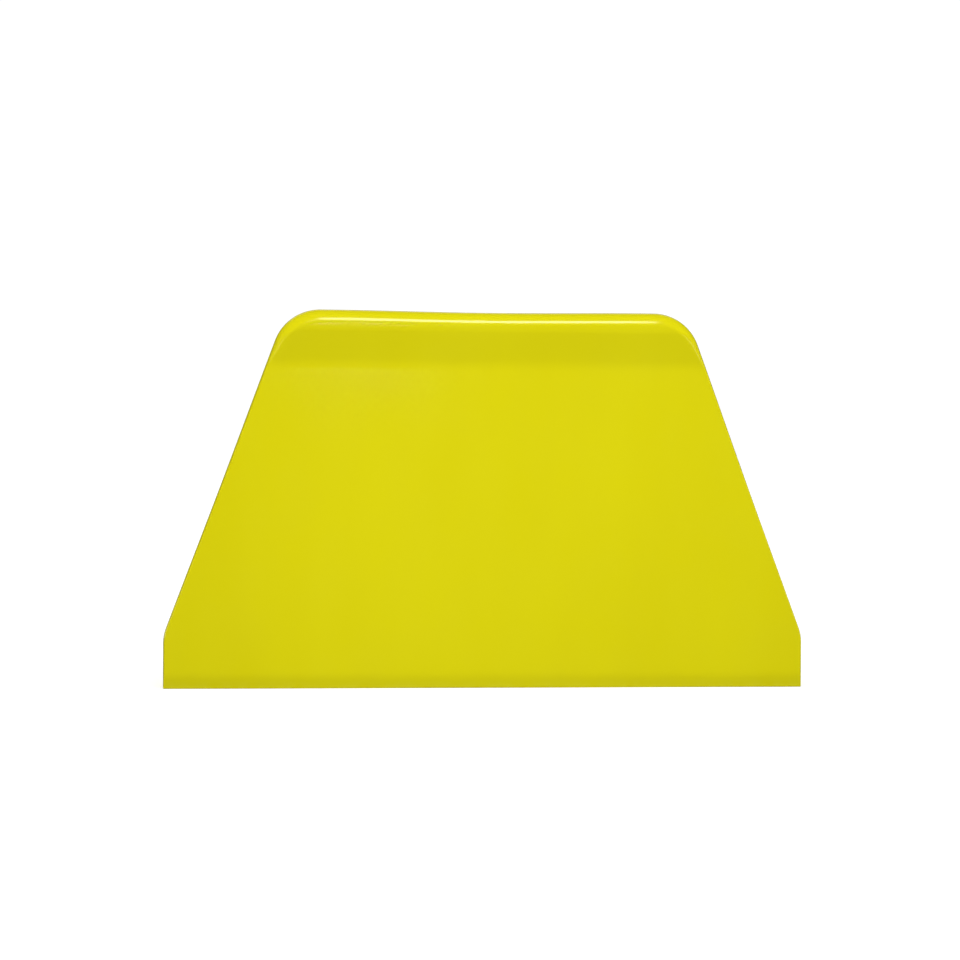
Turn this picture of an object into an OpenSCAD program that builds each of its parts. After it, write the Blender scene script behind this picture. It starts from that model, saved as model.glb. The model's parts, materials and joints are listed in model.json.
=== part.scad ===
// Squeegee applicator: a one-piece moulded blade with a thick rounded grip bead along its top.
// X runs along the working edge, Y through the thickness and Z from the edge up to the grip.
// The origin is at the middle of the working edge, and the front face looks along -Y.

/* [Outline] */
// Length of the working edge
edge_w = 101.6; // [90:0.1:130]
// Height from the working edge to the top of the grip
height = 59.6; // [50:0.1:80]
// Width across the top, between its corners before they are rounded
top_w = 63.6; // [50:0.1:80]
// Height of the upright sides at the ends of the working edge
side_h = 8.4; // [5:0.1:15]
// Radius of the two top corners
top_corner_r = 7.6; // [6.5:0.1:12]
// Radius of the soft knees where the upright sides meet the slopes
knee_r = 6.8; // [6.5:0.1:12]

/* [Grip bead] */
// Radius of the bead along the top, which also crowns the outer edge all the way round
rim_r = 2.6; // [2.4:0.1:2.8]
// Depth of the flat that trims the bead on each face
grip_flat = 0.1; // [0.05:0.05:0.3]
// Depth below the top where the grip starts to thin down towards the blade
flank_drop = 3.1; // [3:0.1:4]
// Depth below the top of the crease where the flank meets the blade
crease_drop = 8.5; // [7:0.1:12]

/* [Blade] */
// Thickness of the blade at the crease under the grip
blade_t_top = 2.6; // [2.2:0.1:3.4]
// Thickness of the blade where the bevel starts
blade_t_low = 2; // [1.6:0.1:2.2]
// Height of the bevel above the working edge
bevel_h = 2; // [1:0.1:4]
// Thickness of the flat land along the working edge
edge_t = 1.1; // [0.6:0.1:1.5]

/* [Hidden] */
$fn = 96;

half_w = edge_w / 2;
half_top = top_w / 2;
// Lean of the sloping sides from upright, and the turn that each top corner makes
lean = atan((half_w - half_top) / (height - side_h));
corner_turn = 90 - lean;

// Centres of the top corner's arc and of the knee's arc on the +X side
corner_c = [half_top - top_corner_r * tan(corner_turn / 2), height - top_corner_r];
knee_c = [half_w - knee_r, side_h - knee_r * tan(lean / 2)];

// The rim's centre line runs inside the outline by the rim's own radius
corner_path_r = top_corner_r - rim_r;
knee_path_r = knee_r - rim_r;

// The core's edge lies a little inside the rim's centre line, and the core is thicker than
// the rim, so that the rim alone shapes the outer edge and the section alone the thickness
core_inset = 0.4;
core_t = 2 * rim_r + 4;
// How much fatter the bends of the rim are, and the angle that they reach over each run
bend_proud = 0.01;
bend_lap = 10;
// The rim and the core start this far under the working edge, where the section trims them
spare = 2;

// The point at angle a on a circle of radius r about c
function polar(c, r, a) = c + r * [cos(a), sin(a)];

// The points of one half followed by their mirror images, as one closed outline
function mirrored(points) =
    concat(points, [for (i = [len(points) - 1:-1:0]) [-points[i].x, points[i].y]]);

// A straight stretch of rim between two points of its centre line
module rim_run(from, to) {
    run = to - from;
    translate([from.x, from.y, 0])
        rotate([0, 90, atan2(run.y, run.x)])
            cylinder(r = rim_r, h = norm(run));
}

// A bend of the rim about c, anticlockwise from the angle start. It is a hair fatter than the
// straight runs and reaches a little over both of them, so that they join in a clean crossing.
module rim_bend(c, r, start, turn) {
    translate([c.x, c.y, 0])
        rotate([0, 0, start - bend_lap])
            rotate_extrude(angle = turn + 2 * bend_lap)
                translate([r, 0])
                    circle(r = rim_r + bend_proud);
}

// The rim of the +X side, from under the working edge up to the start of the straight top
module side_rim() {
    rim_run([half_w - rim_r, -spare], polar(knee_c, knee_path_r, 0));
    rim_bend(knee_c, knee_path_r, 0, lean);
    rim_run(polar(knee_c, knee_path_r, lean), polar(corner_c, corner_path_r, lean));
    rim_bend(corner_c, corner_path_r, lean, corner_turn);
}

// The straight rim along the top, which is the grip bead
module top_rim() {
    end = polar(corner_c, corner_path_r, 90);
    rim_run([-end.x, end.y], end);
}

// The middle of the outline, inside the rim
module core() {
    knee_core_r = knee_path_r - core_inset;
    corner_core_r = corner_path_r - core_inset;
    linear_extrude(core_t, center = true)
        polygon(mirrored([
            [half_w - rim_r - core_inset, -spare],
            polar(knee_c, knee_core_r, 0),
            polar(knee_c, knee_core_r, lean),
            polar(corner_c, corner_core_r, lean),
            polar(corner_c, corner_core_r, lean + corner_turn / 2),
            polar(corner_c, corner_core_r, 90)
        ]));
}

// A bar along X with the section of the squeegee: land, bevel, tapered blade, flank and grip
module section_bar() {
    rotate([90, 0, 90])
        linear_extrude(edge_w + 2 * spare, center = true)
            polygon(mirrored([
                [edge_t / 2, 0],
                [blade_t_low / 2, bevel_h],
                [blade_t_top / 2, height - crease_drop],
                [rim_r - grip_flat, height - flank_drop],
                [rim_r - grip_flat, height + spare]
            ]));
}

// Stands a flat-lying shape up, with its height along Z, and trims it to the section
module stood_and_trimmed() {
    intersection() {
        rotate([90, 0, 0]) children();
        section_bar();
    }
}

module squeegee_body() {
    color("#ddd512") {
        stood_and_trimmed() core();
        stood_and_trimmed() top_rim();
        stood_and_trimmed() side_rim();
        mirror([1, 0, 0]) stood_and_trimmed() side_rim();
    }
}

squeegee_body();
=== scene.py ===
import bpy, json, math
from mathutils import Matrix, Vector

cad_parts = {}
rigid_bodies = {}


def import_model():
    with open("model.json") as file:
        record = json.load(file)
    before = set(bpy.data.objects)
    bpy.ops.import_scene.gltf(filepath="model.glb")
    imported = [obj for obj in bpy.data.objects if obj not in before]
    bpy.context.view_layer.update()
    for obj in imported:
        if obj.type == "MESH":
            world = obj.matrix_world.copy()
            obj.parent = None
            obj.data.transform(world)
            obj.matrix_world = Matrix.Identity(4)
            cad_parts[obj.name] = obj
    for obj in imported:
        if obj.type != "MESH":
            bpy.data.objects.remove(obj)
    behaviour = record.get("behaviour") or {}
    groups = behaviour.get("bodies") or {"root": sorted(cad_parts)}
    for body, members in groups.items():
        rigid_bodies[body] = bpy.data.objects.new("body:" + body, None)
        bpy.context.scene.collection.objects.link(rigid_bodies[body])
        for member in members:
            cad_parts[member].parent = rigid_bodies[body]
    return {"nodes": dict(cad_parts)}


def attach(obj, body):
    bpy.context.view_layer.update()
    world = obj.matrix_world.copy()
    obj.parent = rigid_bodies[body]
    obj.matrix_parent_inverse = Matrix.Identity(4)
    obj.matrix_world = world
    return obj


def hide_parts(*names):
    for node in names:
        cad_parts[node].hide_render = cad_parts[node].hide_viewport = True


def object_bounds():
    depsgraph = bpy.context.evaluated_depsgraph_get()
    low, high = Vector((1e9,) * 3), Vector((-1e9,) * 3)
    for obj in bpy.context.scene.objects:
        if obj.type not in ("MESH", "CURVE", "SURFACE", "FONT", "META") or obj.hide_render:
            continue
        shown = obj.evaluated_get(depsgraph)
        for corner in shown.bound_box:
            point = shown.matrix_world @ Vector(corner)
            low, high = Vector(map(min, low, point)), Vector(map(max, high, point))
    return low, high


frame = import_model()
cadLow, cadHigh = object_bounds()
mm = 0.001
print("frame loaded:", ", ".join(frame["nodes"]))

def srgb(code):
    # "#rrggbb" to the linear colour that a shader wants
    steps = [int(code[i:i + 2], 16) / 255 for i in (1, 3, 5)]
    return [s / 12.92 if s <= 0.04045 else ((s + 0.055) / 1.055) ** 2.4 for s in steps] + [1.0]

def addNode(tree, kind, settings=None, values=None, links=None):
    # settings go on the node, values on its inputs, and links join another node's output to one
    node = tree.nodes.new(kind)
    for name, value in (settings or {}).items():
        setattr(node, name, value)
    for name, value in (values or {}).items():
        node.inputs[name].default_value = value
    for name, source in (links or {}).items():
        tree.links.new(source, node.inputs[name])
    return node

def newTree(owner):
    owner.use_nodes = True
    owner.node_tree.nodes.clear()
    return owner.node_tree

def direction(azimuth, elevation):
    # azimuth 0 is the front, which looks along -Y
    a, e = math.radians(azimuth), math.radians(elevation)
    return Vector((math.sin(a) * math.cos(e), -math.cos(a) * math.cos(e), math.sin(e)))

def onObject(across, up):
    # a point on the middle plane, in shares of the width and of the height
    span = cadHigh - cadLow
    return Vector((span.x * across, 0, cadLow.z + span.z * up))

# Sizes in mm. The width, the height and the grip's thickness come from the CAD box, and the rest
# repeat the part's own values.
squeegee = {
    "topWidth": 63.6,         # across the top corners before they are rounded
    "sideHeight": 8.4,        # the upright sides at the ends of the working edge
    "cornerRadius": 7.6,
    "kneeRadius": 6.8,
    "footRadius": 0.15,       # the two tips of the working edge
    "sideHollow": 0.08,       # shrinkage has pulled the long sides and the top in a little
    "topHollow": 0.23,
    "rimRadius": 2.6,         # the bead, and the crown of the whole outer edge
    "flankDrop": 3.1,         # from the top down to where the grip starts to thin
    "creaseDrop": 8.5,        # and down to the crease where the flank meets the blade
    "bladeTop": 2.6,          # thicknesses at the crease, at the bevel and at the land
    "bladeLow": 2.0,
    "bevelHeight": 2.0,
    "landWidth": 1.1,
    "landRadius": 0.12,
    "flankBlend": 0.13,       # each blend says how far thickness is eased where two slopes meet
    "creaseBlend": 0.18,
    "bevelBlend": 0.15,
    "faceBlend": 0.16,
    "shoulderBlend": 0.4,
    "beadCrispness": 0.65,    # the share of faceBlend that the bead does without
    "partingRidge": 0.03,     # the line where the two mould halves met, round the outer edge
}

def blendMin(a, b, reach):
    # the smaller of two heights, eased where they cross
    return min(a, b) - max(reach - abs(a - b), 0.0) ** 2 / (4 * reach)

def blendMax(a, b, reach):
    return -blendMin(-a, -b, reach)

def makeSection(sizes, height, halfGrip):
    # returns half the thickness at a height z, for a point that lies inset from the outline
    rim = sizes["rimRadius"]
    creaseHeight = height - sizes["creaseDrop"]
    bladeHalf, bevelHalf, landHalf = sizes["bladeTop"] / 2, sizes["bladeLow"] / 2, sizes["landWidth"] / 2
    bladeSlope = (bladeHalf - bevelHalf) / (creaseHeight - sizes["bevelHeight"])
    flankSlope = (halfGrip - bladeHalf) / (sizes["creaseDrop"] - sizes["flankDrop"])
    bevelSlope = (bevelHalf - landHalf) / sizes["bevelHeight"]
    landRadius = sizes["landRadius"]

    def halfThickness(z, inset):
        face = blendMax(bevelHalf + bladeSlope * (z - sizes["bevelHeight"]),
                        bladeHalf + flankSlope * (z - creaseHeight), sizes["creaseBlend"])
        face = blendMin(face, landHalf + bevelSlope * z, sizes["bevelBlend"])
        face = blendMin(face, halfGrip, sizes["flankBlend"])
        if z < landRadius:
            face -= landRadius - math.sqrt(landRadius ** 2 - (landRadius - z) ** 2)
        if inset >= rim:
            return face
        crown = math.sqrt(rim ** 2 - (rim - inset) ** 2)
        thickening = min(max((face - bladeHalf) / (halfGrip - bladeHalf), 0.0), 1.0)
        # the bead's own crown stays true, and its ends run softly into the flank halfway down it
        reach = sizes["faceBlend"] * (1 - sizes["beadCrispness"] * thickening)
        reach += sizes["shoulderBlend"] * 4 * thickening * (1 - thickening)
        return blendMin(crown, face, min(reach, 2 * crown + 1e-6))

    return halfThickness

def traceOutline(sizes, halfWidth, height):
    # Points and outward normals, from the working edge up the +X side, over the top and down
    # the other side, and the station on the corner where rows give way to columns.
    halfTop = sizes["topWidth"] / 2
    lean = math.atan((halfWidth - halfTop) / (height - sizes["sideHeight"]))
    turn = math.pi / 2 - lean
    cornerRadius, kneeRadius = sizes["cornerRadius"], sizes["kneeRadius"]
    corner = (halfTop - cornerRadius * math.tan(turn / 2), height - cornerRadius)
    knee = (halfWidth - kneeRadius, sizes["sideHeight"] - kneeRadius * math.tan(lean / 2))
    kneeSteps, cornerSteps, topSteps = 8, 32, 28
    turnShare = 0.7                   # how far round the corner the rows reach
    tipStep, bevelStep, gripStep, openStep = 0.03, 0.13, 0.2, 0.8     # mm between rows
    bevelMargin, creaseMargin = 0.8, 1.5
    firstStep, gap = 0.5, 0.05        # the least distance kept between a row and an arc
    outline = []

    def addArc(centre, radius, start, sweep, steps):
        for i in range(steps + 1):
            a = start + sweep * i / steps
            normal = (math.cos(a), math.sin(a))
            outline.append(((centre[0] + radius * normal[0], centre[1] + radius * normal[1]), normal))

    def rowStep(z):
        # rows lie closer where the section bends
        if z < sizes["footRadius"]:
            return tipStep
        if z < sizes["bevelHeight"] + bevelMargin:
            return bevelStep
        if z > height - sizes["creaseDrop"] - creaseMargin:
            return gripStep
        return openStep

    z = 0.0
    while z < knee[1] - gap:
        outline.append(((halfWidth, z), (1.0, 0.0)))
        z += rowStep(z)
    addArc(knee, kneeRadius, 0, lean, kneeSteps)
    start = outline[-1][0]
    normal = (math.cos(lean), math.sin(lean))
    end = (corner[0] + cornerRadius * normal[0], corner[1] + cornerRadius * normal[1])
    z = start[1] + firstStep
    while z < end[1] - gap:
        t = (z - start[1]) / (end[1] - start[1])
        dip = sizes["sideHollow"] * math.sin(math.pi * t) ** 2
        x = start[0] + t * (end[0] - start[0])
        outline.append(((x - dip * normal[0], z - dip * normal[1]), normal))
        z += rowStep(z)
    turnAt = len(outline) + int(turnShare * cornerSteps)
    addArc(corner, cornerRadius, lean, turn, cornerSteps)
    for i in range(1, topSteps + 1):
        t = 0.5 * i / topSteps
        dip = sizes["topHollow"] * math.sin(math.pi * t) ** 2
        outline.append(((corner[0] * (1 - 2 * t), height - dip), (0.0, 1.0)))
    outline += [((-x, z), (-nx, nz)) for (x, z), (nx, nz) in reversed(outline[:-1])]
    return outline, turnAt

def buildSqueegee(sizes):
    halfWidth, halfGrip = cadHigh.x / mm, cadHigh.y / mm
    height = (cadHigh.z - cadLow.z) / mm
    rim = sizes["rimRadius"]
    halfThickness = makeSection(sizes, height, halfGrip)
    outline, turnAt = traceOutline(sizes, halfWidth, height)
    last = len(outline) - 1
    verts, faces = [], []

    def addPoint(x, z, thickness):
        # a front point and its twin on the back, which are one point on the parting line
        verts.append((x * mm, -thickness * mm, cadLow.z + z * mm))
        front = len(verts) - 1
        if thickness == 0:
            return front, front
        verts.append((x * mm, thickness * mm, cadLow.z + z * mm))
        return front, front + 1

    # rings step inwards round the crown in degrees, from the parting line to its top
    partingRings = [0.0, 1.4]
    steepRings = [3.0 * i for i in range(1, 13)]
    shallowRings = [36 + 4.5 * i for i in range(1, 13)]
    angles = partingRings + steepRings + shallowRings
    footRadius = sizes["footRadius"]
    rings = []
    for k, angle in enumerate(angles):
        inset = rim * (1 - math.cos(math.radians(angle)))
        ring = []
        for (x, z), (nx, nz) in outline:
            depth = inset + (sizes["partingRidge"] if k else 0.0)
            px, pz = x - nx * depth, z - nz * depth
            if pz < footRadius:
                tuck = footRadius - math.sqrt(footRadius ** 2 - (footRadius - pz) ** 2)
                px -= math.copysign(tuck * (1 - inset / rim), px)
            ring.append(addPoint(px, pz, halfThickness(pz, inset) if k else 0.0))
        rings.append(ring)
    for outer, inner in zip(rings, rings[1:]):
        for i in range(last):
            faces.append((outer[i][0], outer[i + 1][0], inner[i + 1][0], inner[i][0]))
            faces.append((inner[i][1], inner[i + 1][1], outer[i + 1][1], outer[i][1]))

    # inside the last ring, rows run from side to side, with columns spaced as along the top
    inner = rings[-1]
    topRow = inner[turnAt:last - turnAt + 1][::-1]
    leftX, rightX = verts[topRow[0][0]][0], verts[topRow[-1][0]][0]
    shares = [(verts[front][0] - leftX) / (rightX - leftX) for front, back in topRow]
    rows = []
    for left, right in zip(inner[:last - turnAt:-1], inner[:turnAt]):
        x0, x1 = verts[left[0]][0] / mm, verts[right[0]][0] / mm
        z = (verts[left[0]][2] - cadLow.z) / mm
        thickness = halfThickness(z, rim)
        rows.append([left] + [addPoint(x0 + (x1 - x0) * s, z, thickness) for s in shares[1:-1]] + [right])
    rows.append(topRow)
    for low, high in zip(rows, rows[1:]):
        for i in range(len(low) - 1):
            faces.append((low[i][0], low[i + 1][0], high[i + 1][0], high[i][0]))
            faces.append((high[i][1], high[i + 1][1], low[i + 1][1], low[i][1]))

    # the flat land closes the foot, from the tip on -X to the tip on +X
    foot = [ring[last] for ring in rings[:-1]] + rows[0] + [ring[0] for ring in reversed(rings[:-1])]
    for a, b in zip(foot, foot[1:]):
        faces.append(tuple(dict.fromkeys((a[0], a[1], b[1], b[0]))))

    mesh = bpy.data.meshes.new("squeegeeBody")
    mesh.from_pydata(verts, [], faces)
    mesh.shade_smooth()
    piece = bpy.data.objects.new("squeegeeBody", mesh)
    bpy.context.collection.objects.link(piece)
    print("squeegee body:", len(verts), "points,", len(faces), "faces")
    return piece

# Taken to be injection-moulded polypropylene from a polished tool, with opaque lemon pigment. The
# eye gets an even, saturated yellow under a smooth gloss, and a crisp line of light on the bead.
lemonPlastic = {
    "colour": "#eee50c",
    "deeper": "#ebe108",        # where the pigment gathered as the melt flowed down from the top
    "wornColour": "#eee61c",
    "ior": 1.49,
    "roughness": 0.15,
    "glossDrift": 0.05,         # how far the roughness strays from patch to patch
    "wornRoughness": 0.24,
    "wornHeight": 1.6,          # mm of the blade that rubs on the film
    # each pattern's feature in mm, across and up, its detail, and the part of its range in use
    "patterns": {
        "flow": (16.0, 48.0, 2.0, 0.3, 0.7),        # streaks of pigment, three times as tall as wide
        "rub": (1.2, 0.8, 4.0, 0.35, 0.65),         # the patchy upper limit of the worn band
        "gloss": (7.0, 7.0, 2.0, 0.3, 0.7),
        "waves": (9.0, 9.0, 0.0, 0.0, 1.0),         # slow waves that shrinkage leaves in a flat face
        "grain": (0.4, 0.4, 2.0, 0.0, 1.0),         # taken as about 0.05 mm, drawn coarse to show
        "hairs": (0.22, 14.0, 1.0, 0.72, 0.82),     # hairlines along the pull, drawn coarse as well
    },
    "relief": {"waves": 0.002, "grain": 0.0005, "hairs": 0.0008},     # mm, from broad to fine
}

def makeLemonPlastic(finish):
    material = bpy.data.materials.new("mouldedLemonPolypropylene")
    tree = newTree(material)
    place = addNode(tree, "ShaderNodeTexCoord").outputs["Object"]

    # patterns, each counted in features of its own size
    pattern = {}
    for name, (across, up, detail, low, high) in finish["patterns"].items():
        perMetre = (1 / (across * mm), 1 / (across * mm), 1 / (up * mm))
        counted = addNode(tree, "ShaderNodeMapping", None, {"Scale": perMetre}, {"Vector": place})
        noise = addNode(tree, "ShaderNodeTexNoise", None, {"Scale": 1.0, "Detail": detail, "Roughness": 0.5},
                        {"Vector": counted.outputs["Vector"]})
        spread = addNode(tree, "ShaderNodeMapRange", None, {"From Min": low, "From Max": high},
                         {"Value": noise.outputs["Fac"]})
        pattern[name] = spread.outputs["Result"]

    # worn band along the working edge
    height = addNode(tree, "ShaderNodeSeparateXYZ", None, None, {"Vector": place}).outputs["Z"]
    foot = addNode(tree, "ShaderNodeMapRange", {"interpolation_type": "SMOOTHSTEP"},
                   {"From Max": finish["wornHeight"] * mm, "To Min": 1.0, "To Max": 0.0},
                   {"Value": height}).outputs["Result"]
    worn = addNode(tree, "ShaderNodeMath", {"operation": "MULTIPLY"}, None,
                   {0: foot, 1: pattern["rub"]}).outputs["Value"]

    # colour
    pigment = addNode(tree, "ShaderNodeMix", {"data_type": "RGBA"},
                      {6: srgb(finish["colour"]), 7: srgb(finish["deeper"])}, {0: pattern["flow"]})
    colour = addNode(tree, "ShaderNodeMix", {"data_type": "RGBA"},
                     {7: srgb(finish["wornColour"])}, {0: worn, 6: pigment.outputs[2]})

    # gloss, duller where the surface is worn or scratched
    drift = addNode(tree, "ShaderNodeMapRange", None,
                    {"To Min": finish["roughness"] - finish["glossDrift"] / 2,
                     "To Max": finish["roughness"] + finish["glossDrift"] / 2},
                    {"Value": pattern["gloss"]})
    rubbed = addNode(tree, "ShaderNodeMath", {"operation": "MAXIMUM"}, None, {0: worn, 1: pattern["hairs"]})
    gloss = addNode(tree, "ShaderNodeMix", {"data_type": "FLOAT"}, {3: finish["wornRoughness"]},
                    {0: rubbed.outputs["Value"], 2: drift.outputs["Result"]})

    # relief, each layer on the one before, with the hairlines cut in
    links = {}
    for name, depth in finish["relief"].items():
        links["Height"] = pattern[name]
        layer = addNode(tree, "ShaderNodeBump", {"invert": name == "hairs"},
                        {"Strength": 1.0, "Distance": depth * mm}, links)
        links["Normal"] = layer.outputs["Normal"]

    shader = addNode(tree, "ShaderNodeBsdfPrincipled", None, {"IOR": finish["ior"]},
                     {"Base Color": colour.outputs[2], "Roughness": gloss.outputs[0],
                      "Normal": links["Normal"]})
    addNode(tree, "ShaderNodeOutputMaterial", None, None, {"Surface": shader.outputs["BSDF"]})
    return material

body = buildSqueegee(squeegee)
body.data.materials.append(makeLemonPlastic(lemonPlastic))
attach(body, "root")
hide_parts("squeegee_body")
print("finish done")

studio = {
    "floorSize": 12.0,          # m
    "floorColour": "#e7e7e7",
    "floorGlow": 0.42,          # lifts the floor for the camera, so that its shadow stays light
    "floorSun": 2.3,            # W/m2 on the floor alone
    "sunElevation": 55,
    "sunAngle": 60,             # a wide sun gives a soft shadow
    "backdrop": 1.05,           # how bright the room looks to the camera
    "ambient": 0.27,            # how much it lights everything
    "mirrored": 0.03,           # and how bright it looks in the gloss
}

def buildFloor(settings):
    half = settings["floorSize"] / 2
    corners = [(-half, -half, 0), (half, -half, 0), (half, half, 0), (-half, half, 0)]
    mesh = bpy.data.meshes.new("floor")
    mesh.from_pydata(corners, [], [(0, 1, 2, 3)])
    floor = bpy.data.objects.new("floor", mesh)
    floor.location.z = cadLow.z
    bpy.context.collection.objects.link(floor)
    material = bpy.data.materials.new("paleFloor")
    tree = newTree(material)
    matte = addNode(tree, "ShaderNodeBsdfDiffuse", None, {"Color": srgb(settings["floorColour"])})
    seen = addNode(tree, "ShaderNodeLightPath").outputs["Is Camera Ray"]
    lift = addNode(tree, "ShaderNodeMath", {"operation": "MULTIPLY"}, {1: settings["floorGlow"]}, {0: seen})
    glow = addNode(tree, "ShaderNodeEmission", None, None, {"Strength": lift.outputs["Value"]})
    both = addNode(tree, "ShaderNodeAddShader", None, None,
                   {0: matte.outputs["BSDF"], 1: glow.outputs["Emission"]})
    addNode(tree, "ShaderNodeOutputMaterial", None, None, {"Surface": both.outputs["Shader"]})
    mesh.materials.append(material)
    floor.visible_glossy = False
    floor.visible_diffuse = False
    return floor

def buildWorld(settings):
    world = bpy.data.worlds.new("studioRoom")
    bpy.context.scene.world = world
    tree = newTree(world)
    white = srgb("#ffffff")
    path = addNode(tree, "ShaderNodeLightPath")
    shown = addNode(tree, "ShaderNodeBackground", None, {"Color": white, "Strength": settings["ambient"]})
    # the last of these that applies to a ray is the one that it meets
    for strength, ray in (("mirrored", "Is Glossy Ray"), ("backdrop", "Is Camera Ray")):
        light = addNode(tree, "ShaderNodeBackground", None, {"Color": white, "Strength": settings[strength]})
        shown = addNode(tree, "ShaderNodeMixShader", None, None,
                        {0: path.outputs[ray], 1: shown.outputs[0], 2: light.outputs[0]})
    addNode(tree, "ShaderNodeOutputWorld", None, None, {"Surface": shown.outputs[0]})

# Each lamp stands at an angle and a distance in metres from the spot that it is aimed at. A
# panel's radiance is how bright it looks, and a lamp is either for light or for reflections.
lamps = {
    "keySoftbox": {"aim": (0, 0.5), "from": (0, 42), "distance": 0.6, "size": (0.3, 0.3),
                   "radiance": 6.7, "use": "light"},
    "frontPool": {"aim": (0.02, 0.47), "from": (0, 8), "distance": 0.5, "cone": 18, "stretch": 1.4,
                  "bulb": 0.03, "watts": 2.4, "use": "light"},
    "leftFill": {"aim": (0, 0.5), "from": (-92, 14), "distance": 0.6, "size": (0.3, 0.3),
                 "radiance": 2.5, "use": "light"},
    "rightFill": {"aim": (0, 0.5), "from": (92, 14), "distance": 0.6, "size": (0.3, 0.3),
                  "radiance": 2.5, "use": "light"},
    "backSoftbox": {"aim": (0, 0.5), "from": (180, 17), "distance": 0.6, "size": (0.4, 0.3),
                    "radiance": 6.2, "use": "light"},
    "beadStrip": {"aim": (0.36, 1.0), "from": (0, 50), "distance": 0.4, "size": (0.123, 0.13),
                  "radiance": 8.5, "use": "reflection"},
    "backStrip": {"aim": (0, 1.0), "from": (180, 33), "distance": 0.5, "size": (0.5, 0.12),
                  "radiance": 0.8, "use": "reflection"},
    "lowLeftFront": {"aim": (0, 0.5), "from": (-41, 1), "distance": 0.7, "size": (0.3, 0.14),
                     "radiance": 1.3, "use": "reflection"},
    "lowRightFront": {"aim": (0, 0.5), "from": (41, 1), "distance": 0.7, "size": (0.3, 0.14),
                      "radiance": 1.3, "use": "reflection"},
    "lowLeftBack": {"aim": (0, 0.5), "from": (-136, 1), "distance": 0.7, "size": (0.3, 0.1),
                    "radiance": 1.3, "use": "reflection"},
    "lowRightBack": {"aim": (0, 0.5), "from": (136, 1), "distance": 0.7, "size": (0.3, 0.1),
                     "radiance": 1.3, "use": "reflection"},
}

def addLamp(name, lamp, lit):
    if "cone" in lamp:
        data = bpy.data.lights.new(name, "SPOT")
        data.spot_size = math.radians(lamp["cone"])
        data.spot_blend = 1.0
        data.shadow_soft_size = lamp["bulb"]
        data.energy = lamp["watts"]
    else:
        data = bpy.data.lights.new(name, "AREA")
        data.shape = "RECTANGLE"
        data.size, data.size_y = lamp["size"]
        data.energy = math.pi * lamp["radiance"] * data.size * data.size_y
    holder = bpy.data.objects.new(name, data)
    back = direction(*lamp["from"])
    holder.location = onObject(*lamp["aim"]) + back * lamp["distance"]
    holder.rotation_mode = "QUATERNION"
    holder.rotation_quaternion = back.to_track_quat("Z", "Y")
    holder.scale.x = lamp.get("stretch", 1.0)
    holder.visible_camera = False
    holder.visible_diffuse = lamp["use"] == "light"
    holder.visible_glossy = lamp["use"] == "reflection"
    holder.light_linking.receiver_collection = lit
    bpy.context.collection.objects.link(holder)

def addFloorSun(settings, lit):
    data = bpy.data.lights.new("floorSun", "SUN")
    data.energy = settings["floorSun"]
    data.angle = math.radians(settings["sunAngle"])
    holder = bpy.data.objects.new("floorSun", data)
    holder.rotation_mode = "QUATERNION"
    holder.rotation_quaternion = direction(0, settings["sunElevation"]).to_track_quat("Z", "Y")
    holder.visible_glossy = False
    holder.light_linking.receiver_collection = lit
    bpy.context.collection.objects.link(holder)

def litGroup(name, piece):
    group = bpy.data.collections.new(name)
    group.objects.link(piece)
    return group

camera = {
    "from": (-5.461, 0.485),    # azimuth and elevation
    "roll": 0.347,
    "aim": (-0.01136, 0.5521),
    "distance": 0.35915,        # m
    "lens": 85.0,
    "nearest": 0.01,            # m, where the view starts
}

def buildCamera(settings):
    data = bpy.data.cameras.new("camera")
    data.lens = settings["lens"]
    data.clip_start = settings["nearest"]
    holder = bpy.data.objects.new("camera", data)
    back = direction(*settings["from"])
    roll = math.radians(settings["roll"])
    level = Vector((0, 0, 1)).cross(back).normalized()
    upright = back.cross(level)
    right = level * math.cos(roll) + upright * math.sin(roll)
    up = upright * math.cos(roll) - level * math.sin(roll)
    place = Matrix.Translation(onObject(*settings["aim"]) + back * settings["distance"])
    holder.matrix_world = place @ Matrix((right, up, back)).transposed().to_4x4()
    bpy.context.collection.objects.link(holder)
    bpy.context.scene.camera = holder

floor = buildFloor(studio)
buildWorld(studio)
squeegeeOnly, floorOnly = litGroup("squeegeeOnly", body), litGroup("floorOnly", floor)
for name, lamp in lamps.items():
    addLamp(name, lamp, squeegeeOnly)
addFloorSun(studio, floorOnly)
buildCamera(camera)
bpy.context.scene.view_settings.view_transform = "Standard"
print("studio done:", len(lamps) + 1, "lamps")
